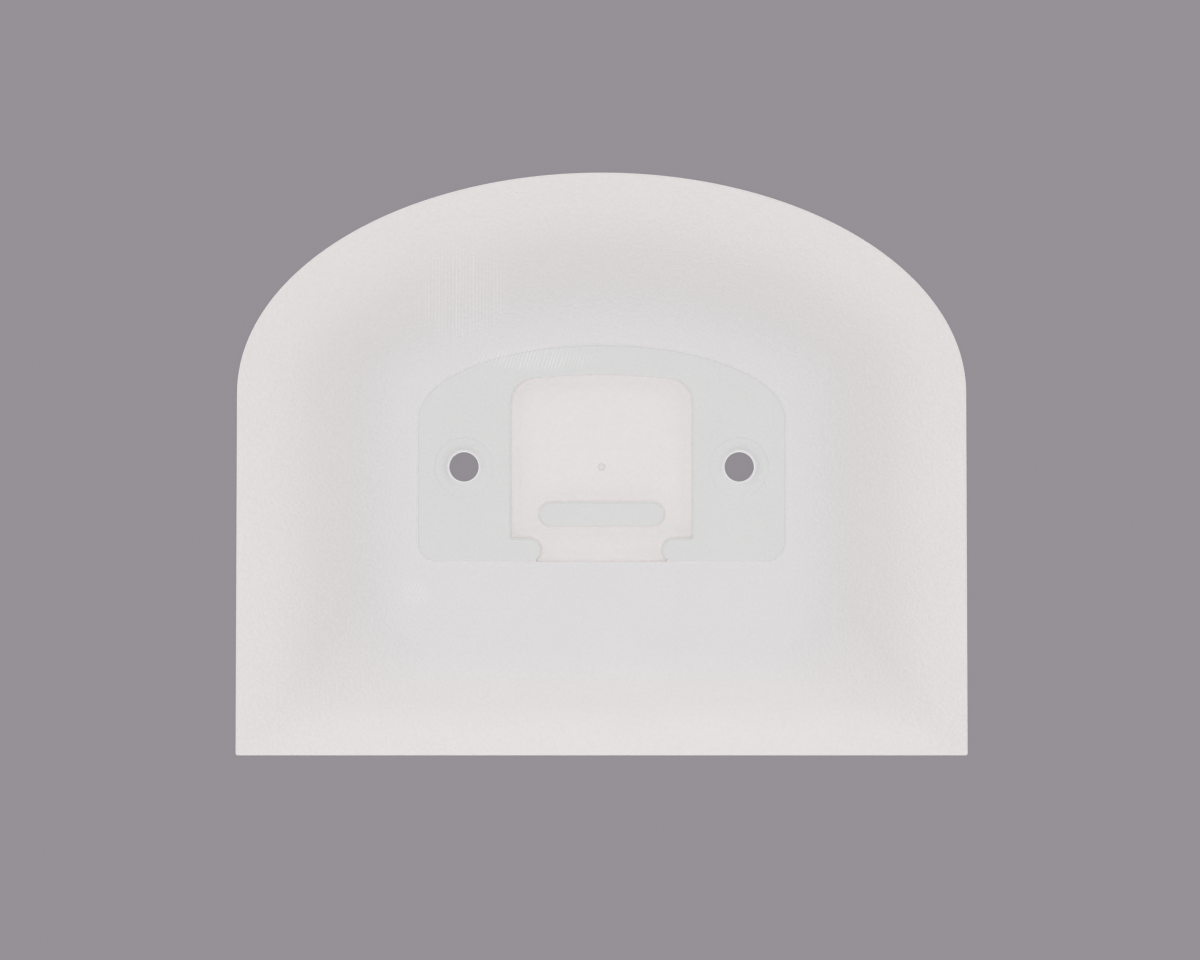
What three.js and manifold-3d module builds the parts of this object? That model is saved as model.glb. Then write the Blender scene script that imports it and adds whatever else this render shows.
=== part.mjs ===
// A dough scraper: an arch-topped plastic blade with thin flexible edges. Its back carries a low
// arch-shaped grip frame, a bar across the thin window inside the frame, and a hanging hole in each leg of
// the frame. It lies on its flat front face. Millimetres, +Z up, +Y from the straight edge to the crown.

import * as THREE from "three";
import { mergeVertices } from "three/addons/utils/BufferGeometryUtils.js";
import Module from "manifold-3d";

// Blade outline
const baseWidth = 150;
const shoulderWidth = 149.4;
const sideHeight = 74.2;
const archRise = 45.2;

// Blade section: a thin lip all round, then a bevel that steepens slowly from the lip and eases into the
// flat middle, over shares of its width. The lands are the flat left between the bevel and the grip frame.
const lipThickness = 0.8;
const plateThickness = 2.4;
const sideLand = 1.2;
const crownLand = 1.3;
const baseBevel = 23;
const lipEase = 0.62;
const middleEase = 0.28;

// Grip frame, with heights taken from the straight edge
const frameWidth = 75.2;
const frameFoot = 39.7;
const frameShoulder = 68.9;
const frameRise = 15.2;
const frameCorner = 4.1;
const frameRaise = 0.6;

// Window inside the frame, thinned from the back, and open at the bottom between two feet
const windowWidth = 37.2;
const windowDepth = 1.5;
const windowCorner = 5.1;
const windowSag = 0.75;
const crownBand = 6.1;
const footHeight = 4.8;
const footReach = 6.2;

// Thumb bar across the window, with its clearances to the window's sides and to the feet below it
const barSideGap = 5.8;
const barHeight = 4.9;
const barChannel = 2.5;

// Hanging holes, one through each leg of the frame, each in a low round boss that rises to the hole
const holeDiameter = 6;
const holeHeight = 59.1;
const bossWidth = 3.05;
const bossRim = 0.08;
const bossRise = 0.14;

// Gate mark left by the moulding, at the middle of the part
const gateDiameter = 1.7;
const gateRaise = 0.3;

// Fineness of the round stretches
const archSegments = 64;
const curveSegments = 20;
const bevelSteps = 12;
const holeSides = 40;

// A cutter runs this far past the faces that it opens.
const cutterOverrun = 2;

// Sizes and places that follow from these. The origin is midway up the part.
const gapWidth = windowWidth - 2 * footReach;
const barLength = windowWidth - 2 * barSideGap;
const windowFloor = plateThickness - windowDepth;
const sideBevel = (shoulderWidth - frameWidth) / 2 - sideLand;
const crownBevel = sideHeight + archRise - frameShoulder - frameRise - crownLand;
const edgeY = -(sideHeight + archRise) / 2;
const shoulderY = edgeY + sideHeight;
const frameFootY = edgeY + frameFoot;
const frameShoulderY = edgeY + frameShoulder;
const footTopY = frameFootY + footHeight;
const windowTopY = frameShoulderY + frameRise - crownBand;
const barY = footTopY + barChannel + barHeight / 2;
const holeY = edgeY + holeHeight;
const holeX = (frameWidth + windowWidth) / 4;
const frameTop = plateThickness + frameRaise;

const naturalPolypropylene = new THREE.MeshStandardMaterial({
  color: 0xe1dddb,
  roughness: 0.5,
  metalness: 0,
});

const wasm = await Module();
wasm.setup();

// A closed three.js geometry as a solid that can be cut.
function solidFrom(geometry) {
  const bare = geometry.clone();
  bare.deleteAttribute("normal");
  bare.deleteAttribute("uv");
  const merged = mergeVertices(bare);
  const mesh = new wasm.Mesh({
    numProp: 3,
    vertProperties: new Float32Array(merged.attributes.position.array),
    triVerts: new Uint32Array(merged.index.array),
  });
  return new wasm.Manifold(mesh);
}

// A cut solid as a three.js geometry.
function geometryFrom(solid) {
  const mesh = solid.getMesh();
  const geometry = new THREE.BufferGeometry();
  geometry.setAttribute("position", new THREE.BufferAttribute(mesh.vertProperties, 3));
  geometry.setIndex(new THREE.BufferAttribute(mesh.triVerts, 1));
  geometry.computeVertexNormals();
  return geometry;
}

// A closed band through matching rings, each { points, z }: up the outside, then down the inside.
function closedBand(rings) {
  const count = rings[0].points.length;
  const positions = rings.flatMap(({ points, z }) => points.flatMap((p) => [p.x, p.y, z]));
  const index = [];
  for (let ring = 0; ring < rings.length; ring++) {
    const lower = ring * count;
    const upper = ((ring + 1) % rings.length) * count;
    for (let i = 0; i < count; i++) {
      const next = (i + 1) % count;
      index.push(lower + i, lower + next, upper + next);
      index.push(lower + i, upper + next, upper + i);
    }
  }
  const geometry = new THREE.BufferGeometry();
  geometry.setAttribute("position", new THREE.Float32BufferAttribute(positions, 3));
  geometry.setIndex(index);
  return geometry;
}

// The blade's outline moved in by a share of its bevel, 0 at the lip and 1 at the flat middle:
// the two corners of the straight edge, then the arch from right to left.
function bladeOutline(share) {
  const cornerX = baseWidth / 2 - sideBevel * share;
  const cornerY = edgeY + baseBevel * share;
  const points = [new THREE.Vector2(-cornerX, cornerY), new THREE.Vector2(cornerX, cornerY)];
  for (let i = 0; i <= archSegments; i++) {
    const angle = (Math.PI * i) / archSegments;
    const x = (shoulderWidth / 2 - sideBevel * share) * Math.cos(angle);
    const y = shoulderY + (archRise - crownBevel * share) * Math.sin(angle);
    points.push(new THREE.Vector2(x, y));
  }
  return points;
}

// Thickness of the blade at a share of its bevel: a straight slope with a parabola at each end.
function bladeThickness(share) {
  const slope = (plateThickness - lipThickness) / (1 - (lipEase + middleEase) / 2);
  if (share < lipEase) {
    return lipThickness + (slope * share ** 2) / (2 * lipEase);
  }
  if (share > 1 - middleEase) {
    return plateThickness - (slope * (1 - share) ** 2) / (2 * middleEase);
  }
  return lipThickness + slope * (share - lipEase / 2);
}

// Adds the line round the window to a path: from the left foot, over the top, to the right foot.
function traceWindow(path) {
  const endRadius = footHeight / 2;
  const endX = gapWidth / 2 + endRadius;
  const endY = frameFootY + endRadius;
  const wallX = windowWidth / 2;
  const cornerX = wallX - windowCorner;
  const cornerY = windowTopY - windowSag - windowCorner;
  const topRadius = (cornerX ** 2 + windowSag ** 2) / (2 * windowSag);
  const topSwing = Math.asin(cornerX / topRadius);
  const up = Math.PI / 2;
  path.absarc(-endX, endY, endRadius, -up, up, false);
  path.lineTo(-wallX, footTopY);
  path.absarc(-cornerX, cornerY, windowCorner, Math.PI, up, true);
  path.absarc(0, windowTopY - topRadius, topRadius, up + topSwing, up - topSwing, true);
  path.absarc(cornerX, cornerY, windowCorner, up, 0, true);
  path.lineTo(wallX, footTopY);
  path.absarc(endX, endY, endRadius, up, 3 * up, false);
}

// The pocket that thins the panel inside the window, closed by a straight step between the feet.
function windowPocket() {
  const floor = new THREE.Shape();
  traceWindow(floor);
  const depth = plateThickness - windowFloor + cutterOverrun;
  const pocket = new THREE.ExtrudeGeometry(floor, { depth, curveSegments, bevelEnabled: false });
  pocket.translate(0, 0, windowFloor);
  return solidFrom(pocket);
}

function holeCutter(x) {
  const length = 2 * (plateThickness + cutterOverrun);
  const cutter = new THREE.CylinderGeometry(holeDiameter / 2, holeDiameter / 2, length, holeSides);
  cutter.rotateX(Math.PI / 2);
  cutter.translate(x, holeY, 0);
  return solidFrom(cutter);
}

// The bevelled part of the blade, from its lip to the flat middle.
function makeBlade() {
  const rings = [{ points: bladeOutline(0), z: 0 }];
  for (let step = 0; step <= bevelSteps; step++) {
    const share = step / bevelSteps;
    rings.push({ points: bladeOutline(share), z: bladeThickness(share) });
  }
  rings.push({ points: bladeOutline(1), z: 0 });
  return new THREE.Mesh(closedBand(rings), naturalPolypropylene);
}

// The flat middle inside the bevel, with the window's pocket and the two holes.
function makeMiddlePanel() {
  const outline = new THREE.Shape(bladeOutline(1));
  const sheet = new THREE.ExtrudeGeometry(outline, { depth: plateThickness, bevelEnabled: false });
  let solid = solidFrom(sheet).subtract(windowPocket());
  for (const x of [-holeX, holeX]) {
    solid = solid.subtract(holeCutter(x));
  }
  return new THREE.Mesh(geometryFrom(solid), naturalPolypropylene);
}

function makeGripFrame() {
  const half = frameWidth / 2;
  const cornerX = half - frameCorner;
  const cornerY = frameFootY + frameCorner;
  const up = Math.PI / 2;
  const shape = new THREE.Shape();
  shape.absarc(cornerX, cornerY, frameCorner, -up, 0, false);
  shape.absellipse(0, frameShoulderY, half, frameRise, 0, Math.PI, false);
  shape.absarc(-cornerX, cornerY, frameCorner, Math.PI, 3 * up, false);
  traceWindow(shape);
  for (const x of [-holeX, holeX]) {
    shape.holes.push(new THREE.Path().absarc(x, holeY, holeDiameter / 2, 0, 2 * Math.PI, true));
  }
  const raised = { depth: frameRaise, curveSegments, bevelEnabled: false };
  const mesh = new THREE.Mesh(new THREE.ExtrudeGeometry(shape, raised), naturalPolypropylene);
  mesh.position.z = plateThickness;
  return mesh;
}

// A bar with round ends, standing on the window's floor and as high as the frame.
function makeThumbBar() {
  const radius = barHeight / 2;
  const endX = barLength / 2 - radius;
  const up = Math.PI / 2;
  const shape = new THREE.Shape();
  shape.absarc(endX, 0, radius, -up, up, false);
  shape.absarc(-endX, 0, radius, up, 3 * up, false);
  const raised = { depth: frameTop - windowFloor, curveSegments, bevelEnabled: false };
  const mesh = new THREE.Mesh(new THREE.ExtrudeGeometry(shape, raised), naturalPolypropylene);
  mesh.position.set(0, barY, windowFloor);
  return mesh;
}

// A low ring round a hanging hole, on the face of the frame: a small step at its rim, then a shallow cone.
function makeHoleBoss(x) {
  const inner = holeDiameter / 2;
  const outer = inner + bossWidth;
  const section = [
    new THREE.Vector2(inner, 0),
    new THREE.Vector2(outer, 0),
    new THREE.Vector2(outer, bossRim),
    new THREE.Vector2(inner, bossRim + bossRise),
    new THREE.Vector2(inner, 0),
  ];
  const mesh = new THREE.Mesh(new THREE.LatheGeometry(section, holeSides), naturalPolypropylene);
  mesh.rotation.x = Math.PI / 2;
  mesh.position.set(x, holeY, frameTop);
  return mesh;
}

// A small flat-topped nub on the window's floor.
function makeGateMark() {
  const radius = gateDiameter / 2;
  const section = [
    new THREE.Vector2(0, 0),
    new THREE.Vector2(radius, 0),
    new THREE.Vector2(radius - gateRaise, gateRaise),
    new THREE.Vector2(0, gateRaise),
  ];
  const mesh = new THREE.Mesh(new THREE.LatheGeometry(section, curveSegments), naturalPolypropylene);
  mesh.rotation.x = Math.PI / 2;
  mesh.position.set(0, holeY, windowFloor);
  return mesh;
}

const pieces = {
  blade: makeBlade(),
  middle_panel: makeMiddlePanel(),
  grip_frame: makeGripFrame(),
  thumb_bar: makeThumbBar(),
  left_hole_boss: makeHoleBoss(-holeX),
  right_hole_boss: makeHoleBoss(holeX),
  gate_mark: makeGateMark(),
};

const scraper = new THREE.Group();
for (const [name, mesh] of Object.entries(pieces)) {
  mesh.name = name;
  scraper.add(mesh);
}

export default scraper;
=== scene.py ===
"""The looks of an arch-topped dough scraper, one moulding of natural polypropylene.

Each stepped region of the moulding is a fine mesh that stands for its CAD node, and all of them share one
finish. Metres, in the CAD frame: +X along the straight edge, +Y from it to the crown, +Z out of the back.
"""

import logging
import math
from dataclasses import dataclass
from enum import Enum

import bmesh
import bpy
from bmesh.types import BMEdge, BMesh
from mathutils import Matrix, Vector


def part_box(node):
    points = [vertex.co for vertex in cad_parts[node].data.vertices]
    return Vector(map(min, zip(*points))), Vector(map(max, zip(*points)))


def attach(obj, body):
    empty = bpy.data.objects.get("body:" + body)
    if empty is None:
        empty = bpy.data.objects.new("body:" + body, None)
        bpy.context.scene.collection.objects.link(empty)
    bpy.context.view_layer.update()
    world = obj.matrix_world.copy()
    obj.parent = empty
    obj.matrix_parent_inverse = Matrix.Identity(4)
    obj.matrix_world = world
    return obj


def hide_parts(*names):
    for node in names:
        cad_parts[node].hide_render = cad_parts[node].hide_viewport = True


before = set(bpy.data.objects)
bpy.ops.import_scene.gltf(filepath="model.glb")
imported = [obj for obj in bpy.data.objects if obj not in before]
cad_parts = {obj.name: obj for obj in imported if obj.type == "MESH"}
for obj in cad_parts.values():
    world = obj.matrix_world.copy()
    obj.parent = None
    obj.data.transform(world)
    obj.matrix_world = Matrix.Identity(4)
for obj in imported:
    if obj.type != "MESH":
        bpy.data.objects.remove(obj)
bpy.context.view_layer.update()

LOG = logging.getLogger("scraper")
MM = 0.001
BODY = "root"
# Points closer than this are one point.
WELD = 0.001 * MM
# Edges that bend more than this are shaded sharp.
CREASE = math.radians(40)
# Rings to be joined that would lie level with each other are set apart by this much.
SWELL = 0.004 * MM
# Power of an area lamp of one square metre at a radiance of 1.
WATTS_PER_RADIANCE = 4.0
# Scale at which the wave texture repeats once in each unit.
WAVE_PITCH = math.pi / 10


class Side(Enum):
    """The two legs of the grip frame."""

    LEFT = "left"
    RIGHT = "right"


def linear(code: str) -> tuple[float, float, float, float]:
    """Turns an sRGB hex colour into linear light.

    Args:
        code: The colour as "#rrggbb".

    Returns:
        Linear red, green and blue, and an alpha of 1.
    """
    shares = [int(code[place : place + 2], 16) / 255 for place in (1, 3, 5)]
    red, green, blue = [s / 12.92 if s <= 0.04045 else ((s + 0.055) / 1.055) ** 2.4 for s in shares]
    return red, green, blue, 1.0


def add_node(tree: bpy.types.NodeTree, kind: str, settings: dict, inputs: dict) -> bpy.types.Node:
    """Adds a node to a tree, with its settings and what feeds it.

    Args:
        tree: The node tree.
        kind: The node's type name.
        settings: Values of the node's own properties.
        inputs: For an input's name or place, a value or the output socket to link.

    Returns:
        The new node.
    """
    node = tree.nodes.new(kind)
    for name, value in settings.items():
        setattr(node, name, value)
    for name, value in inputs.items():
        if isinstance(value, bpy.types.NodeSocket):
            tree.links.new(value, node.inputs[name])
        else:
            node.inputs[name].default_value = value
    return node


def blank_material(name: str) -> bpy.types.Material:
    """Makes a material with an empty node tree.

    Args:
        name: The material's name.

    Returns:
        The material.
    """
    made = bpy.data.materials.new(name)
    made.use_nodes = True
    made.node_tree.nodes.clear()
    return made


def place_in_scene(mesh: BMesh, name: str, material: bpy.types.Material) -> bpy.types.Object:
    """Puts a finished mesh in the scene as an object.

    Args:
        mesh: The mesh, which is used up.
        name: The object's name.
        material: The object's one material.

    Returns:
        The object.
    """
    data = bpy.data.meshes.new(name)
    mesh.to_mesh(data)
    mesh.free()
    data.materials.append(material)
    made = bpy.data.objects.new(name, data)
    bpy.context.scene.collection.objects.link(made)
    return made


class Outline:
    """A closed line at one height, drawn stretch by stretch from its first point.

    It is drawn in a small mesh of its own, in which each operator is quick, and then added to the piece.
    """

    def __init__(self, x: float, y: float, z: float) -> None:
        """Puts down the first point.

        Args:
            x: Place along the straight edge.
            y: Place towards the crown.
            z: Height of the whole line.
        """
        self.mesh = bmesh.new()
        self.height = z
        self.first = bmesh.ops.create_vert(self.mesh, co=(x, y, z))["vert"][0]
        self.last = self.first

    def line_to(self, x: float, y: float, steps: int = 1) -> None:
        """Draws a straight stretch.

        Args:
            x: Where it ends, along the straight edge.
            y: Where it ends, towards the crown.
            steps: How many equal edges it has.
        """
        stride = (Vector((x, y, self.height)) - self.last.co) / steps
        drawn = bmesh.ops.spin(
            self.mesh,
            geom=[self.last],
            cent=self.last.co,
            axis=(0, 0, 1),
            dvec=stride,
            angle=0.0,
            steps=steps,
        )
        self.last = drawn["geom_last"][0]

    def arc(self, x: float, y: float, degrees: float, steps: int, flatten: float = 1.0) -> None:
        """Draws a round stretch from the last point.

        Args:
            x: The centre's place along the straight edge.
            y: The centre's place towards the crown.
            degrees: How far it turns, anticlockwise.
            steps: How many edges it has.
            flatten: Height to width of the ellipse that it follows, if it isn't a circle.
        """
        others = set(self.mesh.verts)
        turned = bmesh.ops.spin(
            self.mesh,
            geom=[self.last],
            cent=(x, y, self.height),
            axis=(0, 0, 1),
            angle=math.radians(degrees),
            steps=steps,
        )
        self.last = turned["geom_last"][0]
        drawn = [vert for vert in self.mesh.verts if vert not in others]
        about = Matrix.Translation((-x, -y, 0))
        bmesh.ops.scale(self.mesh, vec=(1, flatten, 1), space=about, verts=drawn)

    def close(self, piece: BMesh, steps: int = 1) -> list[BMEdge]:
        """Draws the last straight stretch, back to the first point, and adds the line to a piece.

        Args:
            piece: The piece's mesh.
            steps: How many equal edges the stretch has.

        Returns:
            All the edges of the line, in the piece.
        """
        if steps > 1:
            goal = self.first.co.lerp(self.last.co, 1 / steps)
            self.line_to(goal.x, goal.y, steps - 1)
        bmesh.ops.contextual_create(self.mesh, geom=[self.last, self.first])
        line = bpy.data.meshes.new("line")
        self.mesh.to_mesh(line)
        self.mesh.free()
        others = set(piece.edges)
        piece.from_mesh(line)
        bpy.data.meshes.remove(line)
        return [edge for edge in piece.edges if edge not in others]


def circle(mesh: BMesh, centre: Vector, radius: float, height: float, sides: int) -> list[BMEdge]:
    """Draws a level circle.

    Args:
        mesh: The mesh to draw in.
        centre: Its centre, of which only X and Y count.
        radius: Its radius.
        height: Its height.
        sides: How many edges it has.

    Returns:
        Its edges.
    """
    place = Matrix.Translation((centre.x, centre.y, height))
    made = bmesh.ops.create_circle(mesh, segments=sides, radius=radius, matrix=place)
    return list({edge for vert in made["verts"] for edge in vert.link_edges})


def loft(mesh: BMesh, rings: list[list[BMEdge]]) -> None:
    """Joins each ring to the next by a band of faces.

    Args:
        mesh: The mesh to model in.
        rings: The edges of each ring. No two neighbours are level with each other.
    """
    for lower, upper in zip(rings, rings[1:]):
        bmesh.ops.bridge_loops(mesh, edges=lower + upper)


def fill(mesh: BMesh, *rings: list[BMEdge]) -> None:
    """Fills a level face between its outer ring and the rings inside it, with a crease round it.

    Args:
        mesh: The mesh to model in.
        rings: The edges of each ring.
    """
    edges = [edge for ring in rings for edge in ring]
    bmesh.ops.triangle_fill(mesh, use_beauty=True, edges=edges, normal=(0, 0, 1))
    for edge in edges:
        edge.smooth = False


def lathe(mesh: BMesh, section: list[tuple[float, float]], centre: Vector, sides: int) -> None:
    """Turns a section about an upright axis.

    Args:
        mesh: The mesh to model in.
        section: For each point, its distance from the axis and its height. The line is closed.
        centre: A point on the axis.
        sides: How many steps the full turn has.
    """
    points = [bmesh.ops.create_vert(mesh, co=(centre.x + r, centre.y, z))["vert"][0] for r, z in section]
    edges = []
    for point, after in zip(points, points[1:] + points[:1]):
        edges += bmesh.ops.contextual_create(mesh, geom=[point, after])["edges"]
    bmesh.ops.spin(
        mesh,
        geom=points + edges,
        cent=centre,
        axis=(0, 0, 1),
        angle=2 * math.pi,
        steps=sides,
        use_merge=True,
    )


def quarter_round(radius: float, steps: int) -> list[tuple[float, float]]:
    """Works out the section of a rounded edge, from the wall to the face.

    Args:
        radius: Radius of the edge.
        steps: How many straight pieces the quarter has.

    Returns:
        For each point, how far it lies in from the wall and how far below the face.
    """
    angles = [math.pi / 2 * step / steps for step in range(steps + 1)]
    return [(radius * (1 - math.cos(angle)), radius * (1 - math.sin(angle))) for angle in angles]


@dataclass(frozen=True)
class PolishSheenMark:
    """A patch of fine parallel lines that the mould's polishing left, painted lighter as a painted sheen,
    fading out round its centre.
    """

    centre: tuple[float, float]
    reach: tuple[float, float]
    degrees: float
    length: float
    # How much lighter the lines are painted: a painted sheen on real marks.
    gain: float
    spacing: float = 0.7 * MM
    wander: float = 2.0
    sharpness: float = 2.0
    break_scale: float = 0.6
    detail: float = 1.0
    core: float = 0.4

    def lines(self, tree: bpy.types.NodeTree, place: bpy.types.NodeSocket) -> bpy.types.NodeSocket:
        """Draws the lines, a little further apart than the real ones so that they show.

        Args:
            tree: The material's node tree.
            place: Object coordinates.

        Returns:
            The socket of the lines' strength, 0 between them and outside the patch.
        """
        turn = (0.0, 0.0, math.radians(self.degrees))
        across = add_node(
            tree,
            "ShaderNodeMapping",
            {"vector_type": "TEXTURE"},
            {"Vector": place, "Rotation": turn, "Scale": (self.spacing, self.length, 1.0)},
        ).outputs["Vector"]
        waves = add_node(
            tree,
            "ShaderNodeTexWave",
            {},
            {"Vector": across, "Scale": WAVE_PITCH, "Distortion": self.wander, "Detail": self.detail},
        )
        thin = add_node(
            tree, "ShaderNodeMath", {"operation": "POWER"}, {0: waves.outputs["Fac"], 1: self.sharpness}
        )
        breaks = add_node(
            tree,
            "ShaderNodeTexNoise",
            {},
            {"Vector": across, "Scale": self.break_scale, "Detail": self.detail},
        )
        patch = add_node(
            tree,
            "ShaderNodeMapping",
            {"vector_type": "TEXTURE"},
            {"Vector": place, "Location": (*self.centre, 0.0), "Scale": (*self.reach, 1.0)},
        )
        distance = add_node(
            tree, "ShaderNodeVectorMath", {"operation": "LENGTH"}, {0: patch.outputs["Vector"]}
        )
        fade = add_node(
            tree,
            "ShaderNodeMapRange",
            {"interpolation_type": "SMOOTHSTEP"},
            {"Value": distance.outputs["Value"], "From Min": 1.0, "From Max": self.core},
        )
        broken = add_node(
            tree,
            "ShaderNodeMath",
            {"operation": "MULTIPLY"},
            {0: thin.outputs["Value"], 1: breaks.outputs["Fac"]},
        )
        drawn = add_node(
            tree,
            "ShaderNodeMath",
            {"operation": "MULTIPLY"},
            {0: broken.outputs["Value"], 1: fade.outputs["Result"]},
        )
        return drawn.outputs["Value"]


@dataclass(frozen=True)
class Tone:
    """The plastic's colour at one thickness, partly painted light, and the painted highlight on its rounded
    edges there.
    """

    thickness: float
    colour: str
    glow: float


@dataclass(frozen=True)
class NaturalPolypropylene:
    """Natural polypropylene, injection moulded against a finely blasted steel mould.

    The eye sees milky white plastic, a satin gloss with a fine grain, and a few polishing lines copied from
    the mould.
    Light is painted into its colour: thin parts are painted lighter and warmer for light that comes through
    them, rounded edges and the rims of the holes get a painted highlight, corners and walls get painted
    light for light that seeps in beside them, and the polishing lines are painted lighter as a painted
    sheen.
    """

    name: str = "natural_polypropylene_moulded"
    tones: tuple[Tone, ...] = (
        Tone(0.8 * MM, "#dad6d5", 0.8),
        Tone(0.9 * MM, "#dad6d5", 0.1),
        Tone(1.3 * MM, "#d6d2d1", 0.1),
        Tone(2.0 * MM, "#d5d2d2", 0.15),
        Tone(2.4 * MM, "#d2d0d1", 0.4),
        Tone(3.0 * MM, "#cecdcd", 0.25),
        # Above the frame's top are the rims of the holes, with a strong painted highlight.
        Tone(3.1 * MM, "#cecdcd", 0.1),
        Tone(3.14 * MM, "#cecdcd", 3.0),
        Tone(3.18 * MM, "#cecdcd", 3.0),
        Tone(3.22 * MM, "#d4d3d3", 3.0),
    )
    # How far a face points upwards where its painted edge highlight is full, and where it has none.
    glow_tilt: tuple[float, float] = (0.6, 0.97)
    ior: float = 1.49
    roughness: tuple[float, float] = (0.2, 0.28)
    roughness_patch: float = 7.0 * MM
    patch_detail: float = 2.0
    cloud: float = 0.012
    cloud_patch: float = 20.0 * MM
    # Painted light in corners and along walls, from ambient occlusion, for light that seeps through the
    # plastic.
    seep: float = 0.3
    seep_reach: float = 2.0 * MM
    seep_samples: int = 8
    brightest: float = 0.95
    grain: float = 0.6 * MM
    grain_depth: float = 0.03 * MM
    grain_detail: float = 1.0
    mottle: float = 0.05
    polish_sheen_marks: tuple[PolishSheenMark, ...] = (
        PolishSheenMark(
            centre=(-29 * MM, 35 * MM),
            reach=(13 * MM, 13 * MM),
            degrees=0.0,
            length=9 * MM,
            gain=0.12,
        ),
        PolishSheenMark(
            centre=(-13 * MM, 21.4 * MM),
            reach=(15 * MM, 3 * MM),
            degrees=-18.0,
            length=4 * MM,
            gain=0.2,
        ),
        PolishSheenMark(
            centre=(-38.1 * MM, -26.4 * MM),
            reach=(4 * MM, 3.5 * MM),
            degrees=-30.0,
            length=4 * MM,
            gain=0.12,
        ),
    )

    def material(self) -> bpy.types.Material:
        """Makes the node material.

        Returns:
            The material.
        """
        made = blank_material(self.name)
        tree = made.node_tree
        place = add_node(tree, "ShaderNodeTexCoord", {}, {}).outputs["Object"]
        # The colour holds painted light for thin parts, and glow is the painted highlight on the edges.
        colour, glow = self._tone(tree, place)
        colour = self._paint_seeping_light(tree, self._mottle_and_sheen(tree, place, colour), glow)
        height = self._grain(tree, place)
        patches = add_node(
            tree,
            "ShaderNodeTexNoise",
            {},
            {"Vector": place, "Scale": 1 / self.roughness_patch, "Detail": self.patch_detail},
        )
        low, high = self.roughness
        roughness = add_node(
            tree, "ShaderNodeMapRange", {}, {"Value": patches.outputs["Fac"], "To Min": low, "To Max": high}
        )
        bump = add_node(
            tree, "ShaderNodeBump", {}, {"Height": height, "Distance": self.grain_depth, "Strength": 1.0}
        )
        shader = add_node(
            tree,
            "ShaderNodeBsdfPrincipled",
            {},
            {
                "Base Color": colour,
                "Normal": bump.outputs["Normal"],
                "IOR": self.ior,
                "Roughness": roughness.outputs["Result"],
            },
        )
        add_node(tree, "ShaderNodeOutputMaterial", {}, {"Surface": shader.outputs["BSDF"]})
        return made

    def _tone(
        self, tree: bpy.types.NodeTree, place: bpy.types.NodeSocket
    ) -> tuple[bpy.types.NodeSocket, bpy.types.NodeSocket]:
        """Colours the plastic by its thickness, which is the height above the flat front face. The tones
        are partly the plastic's own colour and partly painted light: thin parts are painted lighter for
        light that comes through them.

        Args:
            tree: The material's node tree.
            place: Object coordinates.

        Returns:
            The sockets of the colour, with painted light for thin parts, and of the painted highlight on
            its edges.
        """
        height = add_node(tree, "ShaderNodeSeparateXYZ", {}, {"Vector": place}).outputs["Z"]
        thinnest, thickest = self.tones[0].thickness, self.tones[-1].thickness
        share = add_node(
            tree, "ShaderNodeMapRange", {}, {"Value": height, "From Min": thinnest, "From Max": thickest}
        )
        ramp = add_node(tree, "ShaderNodeValToRGB", {}, {"Fac": share.outputs["Result"]})
        stops = ramp.color_ramp.elements
        # Thin parts are painted lighter: painted light for light that comes through them.
        for tone in self.tones[1:-1]:
            stops.new((tone.thickness - thinnest) / (thickest - thinnest))
        for stop, tone in zip(stops, self.tones):
            red, green, blue, _ = linear(tone.colour)
            stop.color = (red, green, blue, tone.glow)
        return ramp.outputs["Color"], ramp.outputs["Alpha"]

    def _mottle_and_sheen(
        self, tree: bpy.types.NodeTree, place: bpy.types.NodeSocket, colour: bpy.types.NodeSocket
    ) -> bpy.types.NodeSocket:
        """Clouds and mottles a colour, and draws the lines that the mould's polishing left, painted lighter
        as a painted sheen.

        Args:
            tree: The material's node tree.
            place: Object coordinates.
            colour: The plastic's even colour.

        Returns:
            The socket of the marked colour.
        """
        for patch, depth in ((self.cloud_patch, self.cloud), (self.grain, self.mottle)):
            noise = add_node(
                tree,
                "ShaderNodeTexNoise",
                {},
                {"Vector": place, "Scale": 1 / patch, "Detail": self.patch_detail},
            )
            shade = add_node(
                tree,
                "ShaderNodeMapRange",
                {},
                {"Value": noise.outputs["Fac"], "To Min": 1 - depth, "To Max": 1 + depth},
            )
            shaded = add_node(
                tree,
                "ShaderNodeVectorMath",
                {"operation": "SCALE"},
                {"Vector": colour, "Scale": shade.outputs["Result"]},
            )
            colour = shaded.outputs["Vector"]
        # The polishing lines are real marks, painted lighter as a painted sheen.
        for sheen_mark in self.polish_sheen_marks:
            gain = add_node(
                tree,
                "ShaderNodeMath",
                {"operation": "MULTIPLY_ADD"},
                {0: sheen_mark.lines(tree, place), 1: sheen_mark.gain, 2: 1.0},
            )
            lined = add_node(
                tree,
                "ShaderNodeVectorMath",
                {"operation": "SCALE"},
                {"Vector": colour, "Scale": gain.outputs["Value"]},
            )
            colour = lined.outputs["Vector"]
        return colour

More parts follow.
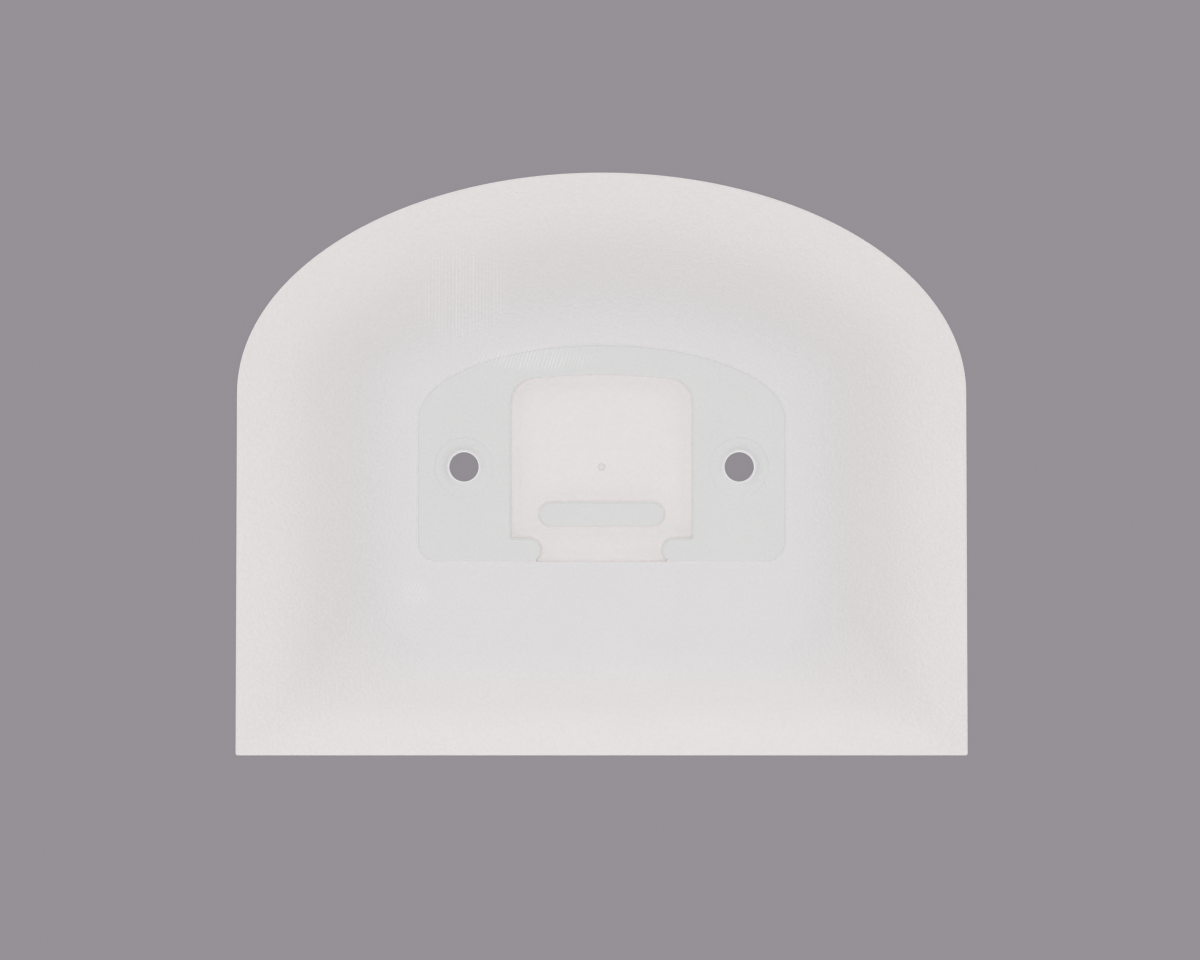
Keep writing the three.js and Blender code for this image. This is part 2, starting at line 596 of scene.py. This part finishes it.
    def _paint_seeping_light(
        self, tree: bpy.types.NodeTree, colour: bpy.types.NodeSocket, glow: bpy.types.NodeSocket
    ) -> bpy.types.NodeSocket:
        """Paints light into the corners and walls, by ambient occlusion, for light that seeps in through
        the milky plastic beside them, and paints a highlight on the rounded edges.

        Args:
            tree: The material's node tree.
            colour: The plastic's colour on an open face.
            glow: How strong the painted highlight on a rounded edge is.

        Returns:
            The socket of the colour with the painted light.
        """
        nearby = add_node(
            tree,
            "ShaderNodeAmbientOcclusion",
            {"samples": self.seep_samples},
            {"Distance": self.seep_reach},
        )
        gain = add_node(
            tree,
            "ShaderNodeMapRange",
            {},
            {"Value": nearby.outputs["AO"], "To Min": 1 + self.seep, "To Max": 1.0},
        )
        facing = add_node(tree, "ShaderNodeNewGeometry", {}, {}).outputs["Normal"]
        upward = add_node(tree, "ShaderNodeSeparateXYZ", {}, {"Vector": facing}).outputs["Z"]
        steep, level = self.glow_tilt
        # Rounded edges that turn away from straight up get a painted highlight.
        edge = add_node(
            tree,
            "ShaderNodeMapRange",
            {},
            {"Value": upward, "From Min": steep, "From Max": level, "To Min": glow, "To Max": 0.0},
        )
        both = add_node(
            tree,
            "ShaderNodeMath",
            {"operation": "MULTIPLY_ADD"},
            {0: gain.outputs["Result"], 1: edge.outputs["Result"], 2: gain.outputs["Result"]},
        )
        lit = add_node(
            tree,
            "ShaderNodeVectorMath",
            {"operation": "SCALE"},
            {"Vector": colour, "Scale": both.outputs["Value"]},
        )
        cap = (self.brightest, self.brightest, self.brightest)
        capped = add_node(
            tree, "ShaderNodeVectorMath", {"operation": "MINIMUM"}, {0: lit.outputs["Vector"], 1: cap}
        )
        return capped.outputs["Vector"]

    def _grain(self, tree: bpy.types.NodeTree, place: bpy.types.NodeSocket) -> bpy.types.NodeSocket:
        """Draws the fine grain of the blasted mould, coarser than the real grain so that it shows.

        Args:
            tree: The material's node tree.
            place: Object coordinates.

        Returns:
            The socket of the grain's height, from 0 to 1.
        """
        noise = add_node(
            tree,
            "ShaderNodeTexNoise",
            {},
            {"Vector": place, "Scale": 1 / self.grain, "Detail": self.grain_detail},
        )
        return noise.outputs["Fac"]


@dataclass(frozen=True)
class Sheet:
    """The outline of the sheet: a straight base, sides that flare a little, and a half ellipse on top."""

    shoulder_width: float = 149.4 * MM
    side_height: float = 74.2 * MM
    base_corner: float = 0.45 * MM
    middle_corner: float = 2.0 * MM
    bevel_corner: float = 12.0 * MM
    side_land: float = 1.2 * MM
    crown_land: float = 1.3 * MM
    base_bevel: float = 23.0 * MM
    base_steps: int = 25
    side_steps: int = 26
    arch_steps: int = 110
    corner_steps: int = 16

    @property
    def side_bevel(self) -> float:
        """Width of the bevel at the sides."""
        return self.shoulder_width / 2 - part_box("grip_frame")[1].x - self.side_land

    @property
    def crown_bevel(self) -> float:
        """Width of the bevel at the crown."""
        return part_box("blade")[1].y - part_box("grip_frame")[1].y - self.crown_land

    def ring(self, mesh: BMesh, share: float, height: float) -> list[BMEdge]:
        """Draws the outline, moved in by a share of the bevel.

        Args:
            mesh: The mesh to draw in.
            share: Share of the bevel's width, 0 at the lip and 1 at the flat middle.
            height: The outline's height.

        Returns:
            Its edges.
        """
        low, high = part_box("blade")
        corner = self.base_corner + (self.middle_corner - self.base_corner) * share
        # Part of the way up the bevel the corner is rounder than at the lip and at the middle.
        corner += self.bevel_corner * math.sin(math.pi * share**2)
        base_x = high.x - self.side_bevel * share
        base_y = low.y + self.base_bevel * share
        shoulder_x = self.shoulder_width / 2 - self.side_bevel * share
        shoulder_y = low.y + self.side_height
        rise = high.y - shoulder_y - self.crown_bevel * share
        pen = Outline(0.0, base_y, height)
        pen.line_to(base_x - corner, base_y, self.base_steps)
        pen.arc(base_x - corner, base_y + corner, 90, self.corner_steps)
        pen.line_to(shoulder_x, shoulder_y, self.side_steps)
        pen.arc(0.0, shoulder_y, 180, self.arch_steps, rise / shoulder_x)
        pen.line_to(-base_x, base_y + corner, self.side_steps)
        pen.arc(corner - base_x, base_y + corner, 90, self.corner_steps)
        return pen.close(mesh, self.base_steps)


@dataclass(frozen=True)
class Window:
    """The line round the thin window inside the grip frame, from one foot of the frame to the other."""

    width: float = 37.2 * MM
    corner: float = 5.1 * MM
    sag: float = 0.75 * MM
    crown_band: float = 6.1 * MM
    foot_height: float = 4.8 * MM
    foot_reach: float = 6.2 * MM
    corner_steps: int = 14
    top_steps: int = 16
    wall_steps: int = 10
    foot_steps: int = 2

    @property
    def gap(self) -> float:
        """Width of the gap between the feet."""
        return self.width - 2 * self.foot_reach

    @property
    def foot_end(self) -> Vector:
        """Centre of the right foot's round end."""
        radius = self.foot_height / 2
        return Vector((self.gap / 2 + radius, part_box("grip_frame")[0].y + radius, 0))

    def trace(self, pen: Outline, inset: float) -> None:
        """Draws the line from above the left foot, over the top, to above the right foot.

        Args:
            pen: The outline to add to, whose last point is above the left foot's end.
            inset: How far the line lies inside the window's own edge.
        """
        frame_low, frame_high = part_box("grip_frame")
        foot_top = frame_low.y + self.foot_height + inset
        wall_x = self.width / 2 - inset
        corner_x = self.width / 2 - self.corner
        top_y = frame_high.y - self.crown_band
        corner_y = top_y - self.sag - self.corner
        top_radius = (corner_x**2 + self.sag**2) / (2 * self.sag)
        swing = math.degrees(math.atan2(corner_x, top_radius - self.sag - inset))
        pen.line_to(-wall_x, foot_top, self.foot_steps)
        pen.line_to(-wall_x, corner_y, self.wall_steps)
        pen.arc(-corner_x, corner_y, -90, self.corner_steps)
        pen.arc(0, top_y - top_radius, -2 * swing, self.top_steps)
        pen.arc(corner_x, corner_y, -90, self.corner_steps)
        pen.line_to(wall_x, foot_top, self.wall_steps)
        pen.line_to(self.foot_end.x, foot_top, self.foot_steps)


@dataclass(frozen=True)
class HangingHole:
    """A round hole through one leg of the grip frame, from the front to the top of its boss."""

    side: Side
    diameter: float = 6.0 * MM
    sides: int = 64

    @property
    def boss(self) -> str:
        """The CAD node of the boss round the hole."""
        return f"{self.side.value}_hole_boss"

    def ring(self, mesh: BMesh, height: float, spread: float = 0.0) -> list[BMEdge]:
        """Draws a circle about the hole's axis.

        Args:
            mesh: The mesh to draw in.
            height: The circle's height.
            spread: How far it lies outside the hole's wall.

        Returns:
            The edges.
        """
        low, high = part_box(self.boss)
        return circle(mesh, (low + high) / 2, self.diameter / 2 + spread, height, self.sides)


class Region:
    """One stepped region of the moulding, which stands for the CAD node that it names."""

    node: str

    def build(self, mesh: BMesh) -> None:
        """Models the region in a mesh, in place."""
        raise NotImplementedError

    def dress(self, material: bpy.types.Material) -> bpy.types.Object:
        """Builds the region, gives it its finish and puts it in its node's place.

        Args:
            material: The plastic.

        Returns:
            The finished piece.
        """
        mesh = bmesh.new()
        self.build(mesh)
        bmesh.ops.remove_doubles(mesh, verts=mesh.verts, dist=WELD)
        bmesh.ops.recalc_face_normals(mesh, faces=mesh.faces)
        for face in mesh.faces:
            face.smooth = True
        for edge in mesh.edges:
            edge.smooth = edge.smooth and edge.calc_face_angle(0.0) < CREASE
        piece = place_in_scene(mesh, f"{self.node}_moulded", material)
        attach(piece, BODY)
        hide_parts(self.node)
        return piece


@dataclass
class Blade(Region):
    """The bevelled part of the sheet, which thickens from a thin lip to the flat middle."""

    sheet: Sheet
    node: str = "blade"
    lip: float = 0.8 * MM
    lip_round: float = 0.28 * MM
    front_round: float = 0.2 * MM
    margin: float = 0.5 * MM
    hold: float = 0.08 * MM
    lip_ease: float = 0.62
    middle_ease: float = 0.28
    bevel_steps: int = 44
    round_steps: int = 5

    def build(self, mesh: BMesh) -> None:
        """Models the band from the flat front, round the lip and up the bevel, with an upright inner wall.

        Args:
            mesh: The mesh to model in.
        """
        rings = [self.sheet.ring(mesh, share, height) for share, height in self._section()]
        inner = self.sheet.ring(mesh, 1.0, 0.0)
        loft(mesh, [*rings, inner])
        fill(mesh, rings[0], inner)

    def _section(self) -> list[tuple[float, float]]:
        """Works out the section of the band.

        Returns:
            For each ring, its share of the bevel's width and its height.
        """
        front = quarter_round(self.front_round, self.round_steps)
        back = quarter_round(self.lip_round, self.round_steps)
        rims = [(self.front_round + self.margin, 0.0)]
        rims += [(inset, max(below, SWELL)) for inset, below in reversed(front)]
        rims += [(inset, self.lip - below) for inset, below in back]
        section = [(inset / self.sheet.side_bevel, height) for inset, height in rims]
        start = (self.lip_round + self.hold) / self.sheet.side_bevel
        for step in range(self.bevel_steps + 1):
            share = start + (1 - start) * step / self.bevel_steps
            section.append((share, self._thickness(share)))
        return section

    def _thickness(self, share: float) -> float:
        """Works out the sheet's thickness: a slope that steepens from the lip and eases into the middle.

        Args:
            share: Share of the bevel's width, 0 at the lip and 1 at the flat middle.

        Returns:
            The thickness.
        """
        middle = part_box(self.node)[1].z
        slope = (middle - self.lip) / (1 - (self.lip_ease + self.middle_ease) / 2)
        if share < self.lip_ease:
            return self.lip + slope * share**2 / (2 * self.lip_ease)
        if share > 1 - self.middle_ease:
            return middle - slope * (1 - share) ** 2 / (2 * self.middle_ease)
        return self.lip + slope * (share - self.lip_ease / 2)


@dataclass
class MiddlePanel(Region):
    """The flat middle inside the bevel, with the pocket of the window and the two holes."""

    sheet: Sheet
    window: Window
    holes: list[HangingHole]
    node: str = "middle_panel"
    front_round: float = 0.2 * MM
    step_round: float = 0.08 * MM
    cusp: float = 35.0
    floor_round: float = 0.22 * MM
    round_steps: int = 5
    step_steps: int = 25
    end_steps: int = 16

    def __post_init__(self) -> None:
        """Reads the panel's box and its neighbours' from the CAD model."""
        self.low, self.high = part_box(self.node)
        self.foot_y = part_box("grip_frame")[0].y
        self.window_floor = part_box("thumb_bar")[0].z

    def build(self, mesh: BMesh) -> None:
        """Models the panel: its upright rim, its pocket, its holes and the level faces between them.

        Args:
            mesh: The mesh to model in.
        """
        front = self.sheet.ring(mesh, 1.0, self.low.z)
        back = self.sheet.ring(mesh, 1.0, self.high.z)
        loft(mesh, [front, back])
        pocket = self._pocket(mesh)
        loft(mesh, pocket)
        fill(mesh, pocket[-1])
        front_rings, back_rings = [front], [back, pocket[0]]
        for hole in self.holes:
            front_rings.append(hole.ring(mesh, self.low.z, self.front_round))
            back_rings.append(hole.ring(mesh, self.high.z))
            loft(mesh, [front_rings[-1], hole.ring(mesh, self.front_round), back_rings[-1]])
        fill(mesh, *front_rings)
        fill(mesh, *back_rings)

    def _pocket(self, mesh: BMesh) -> list[list[BMEdge]]:
        """Draws the rings of the pocket: a rounded step between the feet, walls and a filleted floor.

        Args:
            mesh: The mesh to draw in.

        Returns:
            The rings, from the flat middle down to the floor.
        """
        rings = []
        for back, below in reversed(quarter_round(self.step_round, self.round_steps)):
            rings.append(self._pocket_ring(mesh, 0.0, back, self.high.z - below))
        for inset, up in quarter_round(self.floor_round, self.round_steps):
            rings.append(self._pocket_ring(mesh, inset, 0.0, self.window_floor + up))
        return rings

    def _pocket_ring(self, mesh: BMesh, inset: float, back: float, height: float) -> list[BMEdge]:
        """Draws one ring of the pocket.

        Args:
            mesh: The mesh to draw in.
            inset: How far it lies inside the pocket's wall.
            back: How far it lies behind the wall of the step between the feet.
            height: Its height.

        Returns:
            Its edges.
        """
        end = self.window.foot_end
        radius = end.y - self.foot_y + inset
        corner_x = end.x - radius * math.sin(math.radians(self.cusp))
        corner_y = end.y - radius * math.cos(math.radians(self.cusp))
        step_y = self.foot_y - back
        pen = Outline(corner_x, step_y, height)
        pen.line_to(-corner_x, step_y, self.step_steps)
        pen.line_to(-corner_x, corner_y)
        pen.arc(-end.x, end.y, 180 - self.cusp, self.end_steps)
        self.window.trace(pen, inset)
        pen.arc(end.x, end.y, 180 - self.cusp, self.end_steps)
        return pen.close(mesh)


@dataclass
class GripFrame(Region):
    """The low arch-shaped frame on the flat middle, open at the bottom between its two feet."""

    window: Window
    holes: list[HangingHole]
    node: str = "grip_frame"
    shoulder: float = 29.2 * MM
    corner: float = 4.1 * MM
    edge_round: float = 0.25 * MM
    fillet: float = 0.2 * MM
    fillet_fade: float = 1.5 * MM
    margin: float = 0.08 * MM
    round_steps: int = 6
    fillet_steps: int = 4
    fade_steps: int = 2
    foot_steps: int = 8
    corner_steps: int = 14
    side_steps: int = 10
    arch_steps: int = 90
    end_steps: int = 16

    def __post_init__(self) -> None:
        """Reads the frame's box from the CAD model."""
        self.low, self.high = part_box(self.node)

    def build(self, mesh: BMesh) -> None:
        """Models the frame: walls with a fillet below and a rounded edge above, level faces and holes.

        Args:
            mesh: The mesh to model in.
        """
        rings = []
        for outward, up in reversed(quarter_round(self.fillet, self.fillet_steps)):
            rings.append(self._ring(mesh, outward, 0.0, self.low.z + up))
        for inset, below in quarter_round(self.edge_round, self.round_steps):
            rings.append(self._ring(mesh, -inset, -inset, self.high.z - below))
        inset = self.edge_round + self.margin
        rings.append(self._ring(mesh, -inset, -inset, self.high.z + SWELL))
        loft(mesh, rings)
        fronts = [hole.ring(mesh, self.low.z) for hole in self.holes]
        backs = [hole.ring(mesh, self.high.z + SWELL) for hole in self.holes]
        for front, back in zip(fronts, backs):
            loft(mesh, [front, back])
        fill(mesh, rings[0], *fronts)
        fill(mesh, rings[-1], *backs)

    def _ring(self, mesh: BMesh, outward: float, inward: float, height: float) -> list[BMEdge]:
        """Draws one ring of the frame's wall.

        Args:
            mesh: The mesh to draw in.
            outward: How far it lies outside the frame's outer edge.
            inward: How far it reaches into the window.
            height: Its height.

        Returns:
            Its edges.
        """
        end = self.window.foot_end
        half = self.high.x + outward
        foot_y = self.low.y - outward
        fade_x = end.x + self.fillet_fade
        shoulder_y = self.low.y + self.shoulder
        rise = self.high.y - shoulder_y + outward
        corner_x = self.high.x - self.corner
        corner_y = self.low.y + self.corner
        pen = Outline(fade_x, foot_y, height)
        pen.line_to(corner_x, foot_y, self.foot_steps)
        pen.arc(corner_x, corner_y, 90, self.corner_steps)
        pen.line_to(half, shoulder_y, self.side_steps)
        pen.arc(0.0, shoulder_y, 180, self.arch_steps, rise / half)
        pen.line_to(-half, corner_y, self.side_steps)
        pen.arc(-corner_x, corner_y, 90, self.corner_steps)
        pen.line_to(-fade_x, foot_y, self.foot_steps)
        pen.line_to(-end.x, self.low.y - inward, self.fade_steps)
        pen.arc(-end.x, end.y, 180, self.end_steps)
        self.window.trace(pen, inward)
        pen.arc(end.x, end.y, 180, self.end_steps)
        return pen.close(mesh, self.fade_steps)


@dataclass
class ThumbBar(Region):
    """The bar with round ends that crosses the window, as high as the frame."""

    node: str = "thumb_bar"
    edge_round: float = 0.25 * MM
    fillet: float = 0.2 * MM
    margin: float = 0.08 * MM
    round_steps: int = 6
    fillet_steps: int = 4
    end_steps: int = 24
    half_steps: int = 6

    def __post_init__(self) -> None:
        """Reads the bar's box from the CAD model."""
        self.low, self.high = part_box(self.node)

    def build(self, mesh: BMesh) -> None:
        """Models the bar: a fillet at its foot, upright walls and a rounded top edge.

        Args:
            mesh: The mesh to model in.
        """
        rings = []
        for outward, up in reversed(quarter_round(self.fillet, self.fillet_steps)):
            rings.append(self._ring(mesh, outward, self.low.z + up))
        for inset, below in quarter_round(self.edge_round, self.round_steps):
            rings.append(self._ring(mesh, -inset, self.high.z - below))
        rings.append(self._ring(mesh, -self.edge_round - self.margin, self.high.z + SWELL))
        loft(mesh, rings)
        fill(mesh, rings[0])
        fill(mesh, rings[-1])

    def _ring(self, mesh: BMesh, outward: float, height: float) -> list[BMEdge]:
        """Draws one ring of the bar's wall.

        Args:
            mesh: The mesh to draw in.
            outward: How far it lies outside the bar's edge.
            height: Its height.

        Returns:
            Its edges.
        """
        middle_y = (self.low.y + self.high.y) / 2
        end_x = self.high.x - (self.high.y - self.low.y) / 2
        pen = Outline(0.0, self.low.y - outward, height)
        pen.line_to(end_x, self.low.y - outward, self.half_steps)
        pen.arc(end_x, middle_y, 180, self.end_steps)
        pen.line_to(-end_x, self.high.y + outward, 2 * self.half_steps)
        pen.arc(-end_x, middle_y, 180, self.end_steps)
        return pen.close(mesh, self.half_steps)


@dataclass
class HoleBoss(Region):
    """The low ring round a hanging hole, which rises in a hollow curve from its rim to the hole."""

    hole: HangingHole
    rim: float = 0.08 * MM
    rim_round: float = 0.06 * MM
    mouth_depth: float = 0.2 * MM
    mouth_width: float = 0.36 * MM
    hollow: int = 3
    round_steps: int = 4
    slope_steps: int = 10

    @property
    def node(self) -> str:
        """The CAD node of the boss."""
        return self.hole.boss

    def build(self, mesh: BMesh) -> None:
        """Models the boss by turning its section about the hole's axis."""
        low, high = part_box(self.node)
        lathe(mesh, self._section(), (low + high) / 2, self.hole.sides)

    def _section(self) -> list[tuple[float, float]]:
        """Works out the section of the ring, from the hole's wall over the top to the rim.

        Returns:
            For each point, its distance from the hole's axis and its height.
        """
        low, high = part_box(self.node)
        inner = self.hole.diameter / 2
        outer = (high.x - low.x) / 2
        rim_z = low.z + self.rim
        section = [(inner, low.z)]
        for inset, below in quarter_round(1.0, self.round_steps):
            section.append((inner + inset * self.mouth_width, high.z - below * self.mouth_depth))
        slope = outer - inner - self.mouth_width - self.rim_round
        for step in range(1, self.slope_steps + 1):
            share = step / self.slope_steps
            rise = (high.z - rim_z) * (1 - share) ** self.hollow
            section.append((inner + self.mouth_width + slope * share, rim_z + rise))
        for inset, below in reversed(quarter_round(self.rim_round, self.round_steps)[:-1]):
            section.append((outer - inset, rim_z - below))
        section.append((outer, low.z))
        return section


@dataclass
class GateMark(Region):
    """The small nub that the mould's gate leaves on the window's floor, with a dished top."""

    node: str = "gate_mark"
    top_share: float = 0.62
    dish_share: float = 0.4
    dish: float = 0.08 * MM
    sides: int = 32

    def build(self, mesh: BMesh) -> None:
        """Models the nub as a stack of circles.

        Args:
            mesh: The mesh to model in.
        """
        low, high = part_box(self.node)
        radius = (high.x - low.x) / 2
        section = [
            (radius, low.z),
            (radius * (1 + self.top_share) / 2, (low.z + high.z) / 2),
            (radius * self.top_share, high.z),
            (radius * self.dish_share, high.z - self.dish),
        ]
        rings = [circle(mesh, (low + high) / 2, size, height, self.sides) for size, height in section]
        loft(mesh, rings)
        fill(mesh, rings[0])
        fill(mesh, rings[-1])


@dataclass(frozen=True)
class MattGreyPaper:
    """Matt grey background paper, which the eye sees as one even grey without gloss.

    It partly glows to the camera, so that shadows on it stay faint.
    """

    name: str = "matt_grey_paper"
    colour: str = "#969197"
    glow: float = 0.85

    def material(self) -> bpy.types.Material:
        """Makes the node material.

        Returns:
            The material.
        """
        made = blank_material(self.name)
        tree = made.node_tree
        colour = linear(self.colour)
        paper = add_node(tree, "ShaderNodeBsdfDiffuse", {}, {"Color": colour})
        glow = add_node(tree, "ShaderNodeEmission", {}, {"Color": colour, "Strength": 1.0})
        rays = add_node(tree, "ShaderNodeLightPath", {}, {}).outputs
        seen = rays["Is Camera Ray"]
        for kind in ("Is Glossy Ray", "Is Transmission Ray"):
            either = add_node(tree, "ShaderNodeMath", {"operation": "MAXIMUM"}, {0: seen, 1: rays[kind]})
            seen = either.outputs["Value"]
        share = add_node(tree, "ShaderNodeMath", {"operation": "MULTIPLY"}, {0: seen, 1: self.glow})
        both = add_node(
            tree,
            "ShaderNodeMixShader",
            {},
            {0: share.outputs["Value"], 1: paper.outputs["BSDF"], 2: glow.outputs["Emission"]},
        )
        add_node(tree, "ShaderNodeOutputMaterial", {}, {"Surface": both.outputs["Shader"]})
        return made


@dataclass(frozen=True)
class Softbox:
    """One soft studio lamp, which shows in the gloss only. It is aimed at a point on the floor."""

    name: str
    place: tuple[float, float, float]
    aim: tuple[float, float, float]
    width: float
    depth: float
    radiance: float = 1.7

    def hang(self) -> None:
        """Puts the lamp in the scene."""
        light = bpy.data.lights.new(self.name, "AREA")
        light.shape = "RECTANGLE"
        light.size = self.width
        light.size_y = self.depth
        light.energy = WATTS_PER_RADIANCE * self.radiance * self.width * self.depth
        lamp = bpy.data.objects.new(self.name, light)
        lamp.location = self.place
        lamp.visible_diffuse = False
        beam = Vector(self.aim) - Vector(self.place)
        lamp.rotation_euler = beam.to_track_quat("-Z", "Y").to_euler()
        bpy.context.scene.collection.objects.link(lamp)


@dataclass
class Studio:
    """The plain grey sweep that the scraper lies on, its soft light and the camera straight above it."""

    paper: MattGreyPaper = MattGreyPaper()
    floor_half: float = 1.5
    floor_drop: float = 0.05 * MM
    softboxes: tuple[Softbox, ...] = (
        Softbox("long_softbox", place=(0.0, -1.335, 2.0), aim=(0.0, -1.335, 0.0), width=0.8, depth=3.33),
        Softbox("left_softbox", place=(-1.0, 0.3, 0.7), aim=(0.0, 0.0, 0.0), width=0.6, depth=0.6),
    )
    room_colour: str = "#ffffff"
    ambient: float = 0.978
    lens: float = 100.0
    sensor: float = 36.0
    view_width: float = 246.07 * MM
    view_centre: tuple[float, float] = (-0.33 * MM, -3.28 * MM)

    def build(self) -> None:
        """Makes the floor, the lamps, the ambient light and the camera."""
        self._floor()
        self._light()
        self._camera()

    def _floor(self) -> None:
        """Lays the floor under the flat front face."""
        mesh = bmesh.new()
        place = Matrix.Translation((0, 0, -self.floor_drop))
        bmesh.ops.create_grid(mesh, x_segments=1, y_segments=1, size=self.floor_half, matrix=place)
        floor = place_in_scene(mesh, "floor", self.paper.material())

    def _light(self) -> None:
        """Hangs the lamps, and lights the room evenly."""
        for softbox in self.softboxes:
            softbox.hang()
        world = bpy.data.worlds.new("studio")
        world.use_nodes = True
        sky = world.node_tree.nodes["Background"]
        sky.inputs["Color"].default_value = linear(self.room_colour)
        sky.inputs["Strength"].default_value = self.ambient
        bpy.context.scene.world = world

    def _camera(self) -> None:
        """Sets the camera above the scraper, with the crown at the top of the picture."""
        data = bpy.data.cameras.new("camera")
        data.lens = self.lens
        data.sensor_width = self.sensor
        camera = bpy.data.objects.new("camera", data)
        camera.location = (*self.view_centre, self.view_width * self.lens / self.sensor)
        bpy.context.scene.collection.objects.link(camera)
        bpy.context.scene.camera = camera


def main() -> None:
    """Builds the studio and each region of the moulding in turn."""
    logging.basicConfig(level=logging.INFO, format="%(message)s")
    bpy.context.scene.view_settings.view_transform = "Standard"
    Studio().build()
    plastic = NaturalPolypropylene().material()
    sheet = Sheet()
    window = Window()
    holes = [HangingHole(side) for side in Side]
    regions: list[Region] = [Blade(sheet), MiddlePanel(sheet, window, holes), GripFrame(window, holes)]
    regions += [ThumbBar(), GateMark()]
    regions += [HoleBoss(hole) for hole in holes]
    for region in regions:
        piece = region.dress(plastic)
        LOG.info("%s: %d faces", piece.name, len(piece.data.polygons))


if __name__ == "__main__":
    main()
